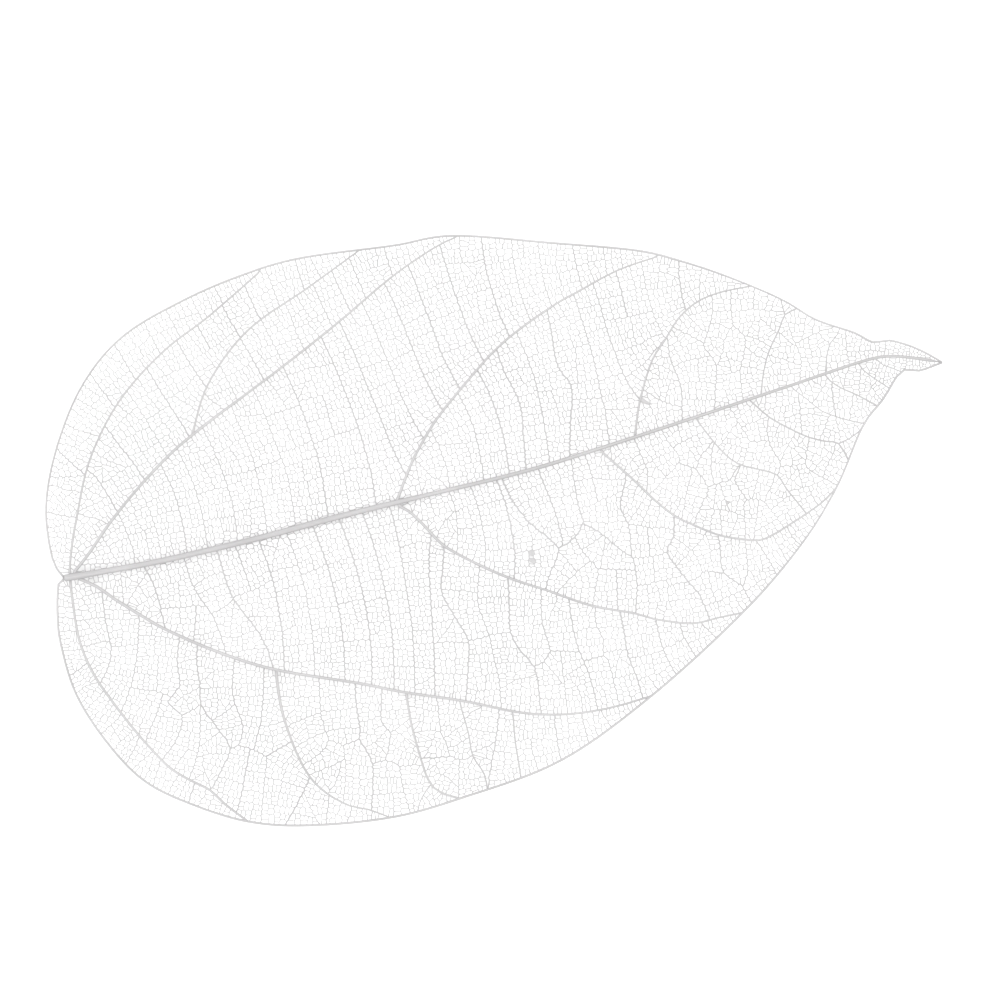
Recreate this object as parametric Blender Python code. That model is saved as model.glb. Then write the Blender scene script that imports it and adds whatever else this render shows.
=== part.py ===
"""A bleached skeleton leaf, lying with its veins up: an open net of ribs with raised main veins.

+X runs along the midrib from base to tip, +Y to the upper half of the blade, +Z up. The leaf rests on
three small flat places of its net round its weight, and the margin and the tip curl up. The origin is
on the ground, under the middle of the leaf.
"""

import math
import random

import bmesh
import bpy
import numpy as np
from mathutils import Vector

# Driving dimensions, in metres
LEAF_LENGTH = 0.090
NET_THICKNESS = 0.0006
NET_RIB = 0.00056
VEIN_RIB = 0.00072
MARGIN_RIB = 0.00052
CELL_SIZE = 0.00335
SMALLEST_HOLE = 0.0007
SHORTEST_SIDE = 0.0005
MARGIN_STEP = 0.0024
VEIN_STEP = 0.0042
VEIN_SINK = 0.00008
VEIN_END = 0.00044

# The curl of the blade: level near its middle, then rising towards the margin in waves
LEVEL_CENTRE = (0.0415, -0.003)
LEVEL_RADIUS = 0.015
LEVEL_STRETCH = 1.45
RISE_LENGTH = 0.013
EDGE_LIFT = 0.0023
WAVE_SHARE = 0.35
WAVE_COUNT = 5
WAVE_PHASE = 0.9

# The three places that the leaf rests on, where its net dips to a small flat spot
FEET = [(0.04724, 0.00861), (0.02011, -0.00289), (0.04586, -0.01251)]
FOOT_RADIUS = 0.00075
FOOT_REACH = 0.003
FOOT_DIP = 0.0004

# Least room that a cell's centre keeps, as shares of the cell size: from the margin, from other
# veins and from other centres
ROOM_ALONG_VEIN = (0.32, 0.36, 0.62)
ROOM_ALONG_MARGIN = (0.4, 0.3, 0.66)
ROOM_BETWEEN = [(0.45, 0.42, 0.92), (0.45, 0.42, 0.8)]

SEED = 7
FILL_TRIES = 9000
MARGIN_CUTS = 8

# Places read off the photograph, in its pixels: right, then down
BASE_PIXEL = (540.0, 640.0)
TIP_PIXEL = (985.5, 530.5)

LOWER_MARGIN = [
    (537, 643), (536.4, 657), (538, 673), (546, 699), (562, 723.5), (581, 742.7), (604.7, 754.4),
    (633.5, 763.3), (664, 765.4), (705.6, 761.6), (741, 752), (792, 732.8), (838.4, 699.8),
    (884.8, 657.5), (914, 623.7), (932.4, 594), (945.5, 563), (955.8, 549), (962.6, 537.6),
    (966.4, 534.2), (973.8, 534.6), (980, 532.6),
]
UPPER_MARGIN = [
    (979, 526.6), (970.2, 522.4), (959, 519.2), (950.5, 520.1), (941, 515.2), (921.7, 508.5),
    (904, 498), (877.3, 486.7), (853.3, 478.7), (830.7, 473.3), (788, 469.6), (737.5, 466),
    (706.7, 471), (659.7, 477.3), (630, 486), (600, 499), (570, 517), (550, 541), (537, 572),
    (531, 603), (534, 630),
]

# Each vein: its route, then its width at the root in metres
VEINS = {
    "midrib": ([
        (540, 640), (562, 636.2), (590, 631), (637, 620), (680, 608.5), (723, 598), (774, 585.6),
        (812, 574), (861, 558), (909, 542), (943, 530.5), (957.4, 527.3), (970, 528), (982, 529.9),
    ], 0.00100),
    "lower_basal": ([
        (545, 639.6), (565, 650.4), (591, 666), (626, 680.8), (656, 688.3), (712, 698),
        (754.7, 704.5), (790, 709.4), (818, 706), (836, 700),
    ], 0.00062),
    "lower_base_edge": ([
        (541, 645), (546, 664.8), (554.5, 688.3), (574.8, 716), (599, 739.5), (616, 749),
        (631, 761),
    ], 0.00052),
    "lower_side_1": ([
        (710, 602), (731, 622), (757.3, 636.3), (796, 650), (830.4, 658), (859, 663), (882, 658.2),
    ], 0.00056),
    "lower_side_2": ([
        (812, 574), (829.3, 590), (850.3, 608.3), (872.7, 618), (893, 620.7), (917, 607),
        (928, 599),
    ], 0.00056),
    "lower_side_3": ([(861, 558), (872.7, 573.6), (894, 584.8), (906.8, 594), (915, 605)], 0.0005),
    "lower_side_4": ([(888, 549.5), (909, 564), (927, 570.4), (938, 577)], 0.0005),
    "lower_side_5": ([(909, 542), (925, 555), (943, 561.6)], 0.00048),
    "lower_outer_1": ([
        (647, 686.5), (652.7, 715), (664.4, 740.5), (684.7, 755.5), (702, 760),
    ], 0.0005),
    "lower_outer_2": ([(714, 698.4), (719, 724.8), (727, 745), (738, 751)], 0.0005),
    "upper_basal": ([
        (544, 638), (556, 621.6), (579, 592.3), (604.7, 567.2), (642.7, 538), (677, 510),
        (706, 487), (735, 469),
    ], 0.00062),
    "upper_base_edge": ([
        (541, 636), (545, 612), (553, 580), (568, 550), (590, 525), (613, 507), (637, 486.5),
    ], 0.00052),
    "upper_outer_1": ([(604.7, 567.2), (613, 541), (633, 514), (664, 492), (688, 475.5)], 0.0005),
    "upper_side_1": ([
        (708.8, 602), (715, 584.5), (729.3, 558.7), (758.7, 524), (789.3, 500.7), (821.3, 483.3),
        (838, 477.6),
    ], 0.00056),
    "upper_side_2": ([
        (830, 568.5), (833.3, 546.7), (845.3, 518.7), (868, 496.7), (886, 491.8),
    ], 0.00056),
    "upper_side_3": ([(894.5, 546.5), (899.3, 521.3), (905, 500)], 0.0005),
    "upper_side_4": ([(927, 535.5), (929.7, 521), (933, 515)], 0.00048),
}


def leaf_place(pixel):
    """The point in metres, along the leaf and across it, of a pixel of the photograph."""
    base, tip = Vector(BASE_PIXEL), Vector(TIP_PIXEL)
    along = (tip - base).normalized()
    scale = LEAF_LENGTH / (tip - base).length
    away = Vector(pixel) - base
    return Vector((away.dot(along), away.x * along.y - away.y * along.x)) * scale


def smooth_route(points, step, closed=False):
    """Points about a step apart on a Catmull-Rom curve through the given ones."""
    count = len(points)
    spans = range(count if closed else count - 1)
    route = []
    for i in spans:
        if closed:
            a, b, c, d = (points[(i + k) % count] for k in (-1, 0, 1, 2))
        else:
            a, b, c, d = (points[min(max(i + k, 0), count - 1)] for k in (-1, 0, 1, 2))
        pieces = max(1, round((c - b).length / step))
        for k in range(pieces):
            t = k / pieces
            bend = (2 * a - 5 * b + 4 * c - d) * t + (3 * b - a - 3 * c + d) * t * t
            route.append(b + ((c - a) + bend) * t / 2)
    return route if closed else route + [points[-1]]


def lift(x, y):
    """Returns the height of the leaf's underside over the plan point x, y."""
    along = (x - LEVEL_CENTRE[0]) / LEVEL_STRETCH
    across = y - LEVEL_CENTRE[1]
    turn = math.atan2(across, along)
    outside = max(0.0, math.hypot(along, across) - LEVEL_RADIUS) / RISE_LENGTH
    wave = 1 + WAVE_SHARE * math.sin(WAVE_COUNT * turn + WAVE_PHASE)
    rise = EDGE_LIFT * outside * outside / (1 + outside) * wave
    nearest = min(math.dist((x, y), foot) for foot in FEET)
    return rise + FOOT_DIP * min(1.0, max(0.0, nearest - FOOT_RADIUS) / FOOT_REACH)


def side(start, end, point):
    """Positive where a point lies left of the line from start to end."""
    along, away = end - start, point - start
    return along[..., 0] * away[..., 1] - along[..., 1] * away[..., 0]


def crosses(start, end, first, second):
    """Which of the segments from first to second the segment from start to end crosses."""
    start, end = np.array(start), np.array(end)
    split = side(start, end, first) * side(start, end, second) < 0
    return split & (side(first, second, start) * side(first, second, end) < 0)


def inside(point, outline):
    """Whether a point lies inside a closed outline."""
    following = np.roll(outline, -1, axis=0)
    above, below = outline[:, 1] > point[1], following[:, 1] > point[1]
    rise = np.where(above == below, 1, following[:, 1] - outline[:, 1])
    where = outline[:, 0] + (point[1] - outline[:, 1]) / rise * (following[:, 0] - outline[:, 0])
    return bool(np.count_nonzero((above != below) & (point[0] < where)) % 2)


def segments(points):
    """The starts and the ends of the straight pieces between following points."""
    array = np.array(points)
    return array[:-1], array[1:]


def distances_to(point, first, second):
    """The distance from a point to each of the segments from first to second."""
    along = second - first
    away = np.array(point) - first
    t = (away * along).sum(axis=1) / (along * along).sum(axis=1)
    return np.sqrt(((away - np.clip(t, 0, 1)[:, None] * along) ** 2).sum(axis=1))


def distance_to(point, first, second):
    return float(distances_to(point, first, second).min())


def depth(point, margin):
    """How far inside the margin a point lies, and negative outside it."""
    distance = distance_to(point, *margin)
    return distance if inside(point, margin[0]) else -distance


def paired_centres(route):
    """Pairs of cell centres, mirrored in the route, so that a rib of the net runs along it."""
    pairs = []
    travelled = CELL_SIZE / 2
    for a, b in zip(route, route[1:]):
        step = (b - a).length
        while travelled < step:
            middle = a.lerp(b, travelled / step)
            across = Vector((a.y - b.y, b.x - a.x)).normalized() * CELL_SIZE / 2
            pairs.append((middle + across, middle - across))
            travelled += CELL_SIZE
        travelled -= step
    return pairs


def cell_centres(outline, vein_routes):
    """The centres of the net's cells: first along the veins and the margin, then evenly in between."""
    margin = segments(outline + outline[:1])
    veins = [segments(route) for route in vein_routes]
    kept = []

    def fits(point, others, room):
        from_margin, from_vein, from_centre = (CELL_SIZE * share for share in room)
        if depth(point, margin) < from_margin:
            return False
        if any(distance_to(point, *vein) < from_vein for vein in others):
            return False
        return all((point - centre).length > from_centre for centre in kept)

    for number, route in enumerate(vein_routes):
        others = veins[:number] + veins[number + 1:]
        for pair in paired_centres(route):
            if all(fits(point, others, ROOM_ALONG_VEIN) for point in pair):
                kept.extend(pair)
    for pair in paired_centres(outline + outline[:1]):
        kept.extend(point for point in pair if fits(point, veins, ROOM_ALONG_MARGIN))

    draw = random.Random(SEED)
    low, high = margin[0].min(axis=0), margin[0].max(axis=0)
    for room in ROOM_BETWEEN:
        for _ in range(FILL_TRIES):
            point = Vector((draw.uniform(low[0], high[0]), draw.uniform(low[1], high[1])))
            if fits(point, veins, room):
                kept.append(point)
    return kept


def clip(polygon, point, direction):
    """The part of a convex polygon that lies behind the line through a point, facing a direction."""
    result = []
    for a, b in zip(polygon, polygon[1:] + polygon[:1]):
        da, db = (a - point).dot(direction), (b - point).dot(direction)
        if da <= 0:
            result.append(a)
        if da * db < 0:
            result.append(a.lerp(b, da / (da - db)))
    return result


def hole(centre, neighbours, margin, veins):
    """The open cell round a centre: its Voronoi cell with half a rib taken off along each side."""
    reach = CELL_SIZE * 1.5
    corners = [(-reach, -reach), (reach, -reach), (reach, reach), (-reach, reach)]
    polygon = [centre + Vector(corner) for corner in corners]
    for other in neighbours:
        direction = (other - centre).normalized()
        rib = VEIN_RIB if crosses(centre, other, *veins).any() else NET_RIB
        polygon = clip(polygon, (centre + other) / 2 - direction * rib / 2, direction)
    for _ in range(MARGIN_CUTS):
        outside = [corner for corner in polygon if depth(corner, margin) < MARGIN_RIB * 0.98]
        if not outside:
            break
        worst = min(outside, key=lambda corner: depth(corner, margin))
        nearest = distances_to(worst, *margin).argmin()
        start, end = margin[0][nearest], margin[1][nearest]
        outward = Vector((end[1] - start[1], start[0] - end[0])).normalized()
        polygon = clip(polygon, Vector(start) - outward * MARGIN_RIB, outward)
    return polygon


def without_short_sides(polygon):
    """The polygon with each short side drawn together at its middle."""
    points = list(polygon)
    while len(points) > 3:
        sides = [(points[i - 1] - points[i]).length for i in range(len(points))]
        i = min(range(len(points)), key=sides.__getitem__)
        if sides[i] > SHORTEST_SIDE:
            break
        points[i] = (points[i - 1] + points[i]) / 2
        points.pop(i - 1)
    return points


def inner_radius(polygon):
    """The distance from the polygon's middle to its nearest side."""
    middle = sum(polygon, Vector((0, 0))) / len(polygon)
    return distance_to(middle, *segments(polygon + polygon[:1]))


def net_holes(outline, vein_routes):
    """The outlines of all the open cells of the net. The outline runs anticlockwise."""
    centres = cell_centres(outline, vein_routes)
    margin = segments(outline + outline[:1])
    veins = tuple(np.concatenate(ends) for ends in zip(*map(segments, vein_routes)))
    holes = []
    for centre in centres:
        neighbours = [other for other in centres if 0 < (other - centre).length < CELL_SIZE * 3]
        polygon = hole(centre, neighbours, margin, veins)
        if len(polygon) < 3:
            continue
        polygon = without_short_sides(polygon)
        clear = all(depth(corner, margin) > MARGIN_RIB * 0.5 for corner in polygon)
        if clear and inner_radius(polygon) > SMALLEST_HOLE / 2:
            holes.append(polygon)
    return holes


def curve_object(name, splines, closed, dimensions):
    """A curve of straight-sided splines; each point is x, y, z and a radius."""
    curve = bpy.data.curves.new(name, "CURVE")
    curve.dimensions = dimensions
    for points in splines:
        spline = curve.splines.new("POLY")
        spline.points.add(len(points) - 1)
        for target, (x, y, z, radius) in zip(spline.points, points):
            target.co = (x, y, z, 1)
            target.radius = radius
        spline.use_cyclic_u = closed
    return bpy.data.objects.new(name, curve)


def to_mesh_object(curve, collection):
    """The mesh object that a curve makes, with its caps welded; the curve itself is removed."""
    bpy.context.scene.collection.objects.link(curve)
    graph = bpy.context.evaluated_depsgraph_get()
    mesh = bpy.data.meshes.new_from_object(curve.evaluated_get(graph))
    work = bmesh.new()
    work.from_mesh(mesh)
    bmesh.ops.remove_doubles(work, verts=work.verts, dist=1e-6)
    bmesh.ops.recalc_face_normals(work, faces=work.faces)
    work.to_mesh(mesh)
    work.free()
    result = bpy.data.objects.new(curve.name, mesh)
    result.matrix_world = curve.matrix_world
    bpy.data.objects.remove(curve)
    collection.objects.link(result)
    return result


def make_net(outline, holes, collection):
    """The net: a flat outline with all its holes, given its thickness, then bent to the blade's curl."""
    splines = [[(p.x, p.y, 0, 1) for p in points] for points in [outline] + holes]
    curve = curve_object("net_outline", splines, True, "2D")
    curve.data.fill_mode = "BOTH"
    curve.data.extrude = NET_THICKNESS / 2
    net = to_mesh_object(curve, collection)
    net.name = "skeleton_leaf"
    for vertex in net.data.vertices:
        vertex.co.z += NET_THICKNESS / 2 + lift(vertex.co.x, vertex.co.y)
    return net


def make_vein(name, route, root_width, collection):
    """A tapered round vein that stands half out of the top of the net."""
    points = []
    for i, p in enumerate(route):
        width = root_width + (VEIN_END - root_width) * i / (len(route) - 1)
        points.append((p.x, p.y, lift(p.x, p.y) + NET_THICKNESS - VEIN_SINK, width / 2))
    curve = curve_object(name, [points], False, "3D")
    curve.data.bevel_depth = 1
    curve.data.bevel_resolution = 1
    curve.data.use_fill_caps = True
    return to_mesh_object(curve, collection)


def leaf_material():
    """Bleached leaf fibre: matt, a light neutral grey."""
    material = bpy.data.materials.new("bleached_fibre")
    material.use_nodes = True
    shader = material.node_tree.nodes["Principled BSDF"]
    shader.inputs["Base Color"].default_value = (0.62, 0.62, 0.61, 1)
    shader.inputs["Roughness"].default_value = 0.75
    shader.inputs["Metallic"].default_value = 0
    return material


def main():
    for obj in list(bpy.data.objects):
        bpy.data.objects.remove(obj)
    leaf = bpy.data.collections.new("skeleton_leaf_parts")
    veins = bpy.data.collections.new("raised_veins")
    for collection in (leaf, veins):
        bpy.context.scene.collection.children.link(collection)

    margin = [leaf_place(p) for p in LOWER_MARGIN + [TIP_PIXEL] + UPPER_MARGIN]
    outline = smooth_route(margin, MARGIN_STEP, closed=True)
    routes = {name: [leaf_place(p) for p in vein[0]] for name, vein in VEINS.items()}
    fine_routes = [smooth_route(route, CELL_SIZE / 3) for route in routes.values()]
    net = make_net(outline, net_holes(outline, fine_routes), leaf)

    for name, (_, root_width) in VEINS.items():
        make_vein(name, smooth_route(routes[name], VEIN_STEP), root_width, veins)

    union = net.modifiers.new("raised veins", "BOOLEAN")
    union.operation = "UNION"
    union.solver = "MANIFOLD"
    union.operand_type = "COLLECTION"
    union.collection = veins
    graph = bpy.context.evaluated_depsgraph_get()
    joined = bpy.data.meshes.new_from_object(net.evaluated_get(graph))
    net.modifiers.clear()
    net.data = joined
    for obj in list(veins.objects):
        bpy.data.objects.remove(obj)
    bpy.data.collections.remove(veins)

    # The middle of the leaf's box goes over the origin
    corners = np.array([vertex.co for vertex in net.data.vertices])
    middle = (corners.min(axis=0) + corners.max(axis=0)) / 2
    for vertex in net.data.vertices:
        vertex.co.x -= middle[0]
        vertex.co.y -= middle[1]
    net.data.materials.clear()
    net.data.materials.append(leaf_material())


main()
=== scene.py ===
import itertools
import math
import random

import bpy
import numpy as np
from mathutils import Matrix, Vector


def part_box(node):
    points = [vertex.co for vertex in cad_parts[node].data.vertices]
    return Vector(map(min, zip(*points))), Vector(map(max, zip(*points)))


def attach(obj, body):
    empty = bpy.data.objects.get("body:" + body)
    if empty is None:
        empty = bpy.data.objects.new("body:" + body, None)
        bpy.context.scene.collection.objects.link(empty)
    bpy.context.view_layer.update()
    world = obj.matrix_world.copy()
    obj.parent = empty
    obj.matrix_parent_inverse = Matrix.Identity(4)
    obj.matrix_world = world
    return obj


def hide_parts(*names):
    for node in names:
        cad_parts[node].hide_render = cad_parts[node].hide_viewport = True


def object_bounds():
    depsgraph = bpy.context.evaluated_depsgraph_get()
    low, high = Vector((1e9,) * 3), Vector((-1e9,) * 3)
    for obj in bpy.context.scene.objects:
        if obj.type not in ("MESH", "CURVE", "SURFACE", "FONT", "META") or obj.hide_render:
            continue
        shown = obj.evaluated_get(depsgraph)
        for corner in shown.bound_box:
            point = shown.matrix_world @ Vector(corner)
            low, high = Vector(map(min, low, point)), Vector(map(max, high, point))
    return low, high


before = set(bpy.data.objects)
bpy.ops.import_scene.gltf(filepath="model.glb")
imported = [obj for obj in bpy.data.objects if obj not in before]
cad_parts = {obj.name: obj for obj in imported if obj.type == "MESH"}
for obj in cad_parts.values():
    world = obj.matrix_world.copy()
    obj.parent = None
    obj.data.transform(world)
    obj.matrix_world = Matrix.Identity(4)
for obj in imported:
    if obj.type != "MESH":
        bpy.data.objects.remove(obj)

cadLow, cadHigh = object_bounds()
nodeLow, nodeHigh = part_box("skeleton_leaf")
print("frame loaded, leaf box", [round(v * 1000, 1) for v in (cadHigh - cadLow)], "mm")

# The leaf's plan: its real length, and its outline in pixels of the photograph, right then down.
# All lengths and widths here and below are in metres
leaf = {
    "length": 0.090,
    "basePixel": (540.0, 640.0),
    "tipPixel": (985.5, 530.5),
    "lowerMargin": [
        (537, 643), (536.4, 657), (538, 673), (546, 699), (562, 723.5), (581, 742.7),
        (604.7, 754.4), (633.5, 763.3), (664, 765.4), (705.6, 761.6), (741, 752), (792, 732.8),
        (838.4, 699.8), (884.8, 657.5), (914, 623.7), (932.4, 594), (945.5, 563), (955.8, 549),
        (962.6, 537.6), (966.4, 534.2), (973.8, 534.6), (980, 532.6),
    ],
    "upperMargin": [
        (979, 526.6), (970.2, 522.4), (959, 519.2), (950.5, 520.1), (941, 515.2), (921.7, 508.5),
        (904, 498), (877.3, 486.7), (853.3, 478.7), (830.7, 473.3), (788, 469.6), (737.5, 466),
        (706.7, 471), (659.7, 477.3), (630, 486), (600, 499), (570, 517), (550, 541), (537, 572),
        (531, 603), (534, 630),
    ],
    "marginWidths": (0.00023, 0.00021),      # lower, upper
    # Where the margin is thinner: from one share of the length to another, and by what share
    "marginThins": [(0.74, 0.93, 0.2), (0.93, 1.04, 0.1)],
}

# The main veins, in the order in which they branch: route in pixels, width at the root and at the
# end. The midrib's first width only says how hard it pulls at the net: bundle has those it is
# drawn with
mainVeins = {
    "midrib": ([
        (540, 640), (562, 636.2), (590, 631), (637, 620), (680, 608.5), (723, 598), (774, 585.6),
        (812, 574), (861, 558), (909, 542), (943, 530.5), (957.4, 527.3), (970, 528), (979, 529.3),
        (985.4, 530.5),
    ], 0.00096, 0.0004),
    "lowerBasal": ([
        (546, 639.5), (556.7, 644.5), (565, 650.4), (576, 657.3), (591, 666), (615, 676.5),
        (637, 684), (656, 688.3), (690, 693.6), (712, 698), (742, 702.4), (767.5, 707.7),
        (782.4, 709.3), (797.3, 709.1), (811, 707.2), (823, 704.5), (838.4, 699.8),
    ], 0.000325, 0.000195),
    "lowerBaseEdge": ([
        (542.8, 641.5), (544.3, 653), (546, 664.8), (548.7, 675.5), (554.5, 688.3), (562, 699.5),
        (574.8, 716), (583.3, 725.6), (594, 736.3), (604.7, 742.7), (614.3, 747.5), (621.7, 754.4),
        (633.5, 763.3),
    ], 0.000265, 0.000245),
    "lowerSide1": ([
        (708.8, 603), (715, 606), (722.7, 613.3), (731, 622), (739.7, 627.7), (757.3, 636.3),
        (770.7, 641.6), (784.5, 646), (808, 654), (830.4, 658), (840, 660.8), (859, 663),
        (872, 660.2), (884.8, 657.5),
    ], 0.000285, 0.000175),
    "lowerSide2": ([
        (812.3, 574.9), (829.3, 590), (840.7, 600.8), (850.3, 608.3), (858.8, 612.5),
        (872.7, 618), (883.3, 620), (893, 620.7), (899.3, 618.4), (906.8, 614), (924, 602.4),
        (932.4, 594),
    ], 0.000225, 0.000175),
    "lowerSide3": ([
        (861, 558.7), (872.7, 573.6), (882.3, 581.6), (894, 584.8), (902.5, 587.5), (906.8, 594),
        (917, 606.7),
    ], 0.00015, 0.00015),
    "lowerSide4": ([
        (888, 549), (898.3, 558), (909, 564), (918.5, 568.3), (927, 570.4), (933.5, 571.5),
        (938.5, 580),
    ], 0.00015, 0.000175),
    "lowerSpur": ([(933.5, 571.5), (939, 569), (945.5, 565)], 0.00013, 0.00013),
    "lowerSide5": ([
        (909, 542.7), (917.5, 549), (925, 555), (936.7, 559.2), (947, 561.5),
    ], 0.00008, 0.00013),
    "lowerSide6": ([(926, 537.3), (933.5, 542.7), (943, 547), (953, 552.5)], 0.000125, 0.00017),
    "lowerSide7": ([(943, 532), (950, 537.5), (959, 543.5)], 0.00012, 0.00012),
    "lowerSide8": ([(952, 529.5), (956, 531.8), (964.5, 534.5)], 0.00011, 0.00011),
    "lowerOuter1": ([
        (647.3, 687.4), (649.5, 703), (652.7, 715), (658, 728.8), (664.4, 740.5), (673, 749),
        (684.7, 755.5), (694.4, 757.5), (705.6, 761.6),
    ], 0.00031, 0.00014),
    "lowerOuter2": ([
        (713.6, 698.6), (715.8, 712), (719, 724.8), (724.8, 742.4), (731, 748.8), (741, 752),
    ], 0.000225, 0.000205),
    "lowerFork2": ([(726, 745), (722, 751), (719.2, 757.5)], 0.00012, 0.00011),
    "lowerOuter3": ([
        (740.7, 703), (745.3, 718.9), (747.5, 730.3), (753.2, 739.3), (754.9, 747.3),
    ], 0.00014, 0.000155),
    "lowerOuter4": ([(768, 708), (769, 722), (772, 740.6)], 0.00016, 0.000165),
    "upperBasal": ([
        (544, 638), (552, 628), (563, 612), (579, 592.3), (596, 574.7), (614.3, 559.7),
        (631.3, 547), (655, 529), (680, 509), (706, 487), (728, 472), (740, 466.3),
    ], 0.00032, 0.000175),
    "upperBaseEdge": ([
        (542.5, 638.3), (543.5, 626), (546, 611), (553, 580), (568, 550), (590, 525), (613, 507),
        (640, 483.5),
    ], 0.00023, 0.00018),
    "upperOuter1": ([
        (604.7, 567.4), (613, 541), (633, 514), (664, 492), (690, 473.2),
    ], 0.00022, 0.00016),
    "upperSide1": ([
        (708.8, 600.8), (715, 584.5), (719.5, 575), (729.3, 558.7), (746.7, 537.3), (758.7, 524),
        (772, 512.7), (789.3, 500.7), (800, 494.7), (821.3, 483.3), (842, 476.2),
    ], 0.000285, 0.00016),
    "upperSide2": ([
        (830, 568.2), (831.3, 557.3), (833.3, 546.7), (838.7, 529.3), (845.3, 518.7),
        (852, 508), (860, 500.5), (868, 496.3), (877.3, 493.6), (888.6, 491.5),
    ], 0.00021, 0.000145),
    "upperSide3": ([
        (894.2, 545.5), (895.5, 535), (898.1, 524.7), (903.3, 513.4), (906.2, 506), (912, 503.2),
    ], 0.000135, 0.00016),
    "upperLoop3": ([(906.6, 505.6), (903.3, 498.2)], 0.00012, 0.00012),
    "upperSide4": ([
        (927, 536), (927.4, 527), (929.3, 520.3), (932.8, 516), (934.1, 514),
    ], 0.00018, 0.000095),
    "upperSide5": ([(956, 527.6), (957, 523), (957, 519.4)], 0.0001, 0.00009),
}

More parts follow.
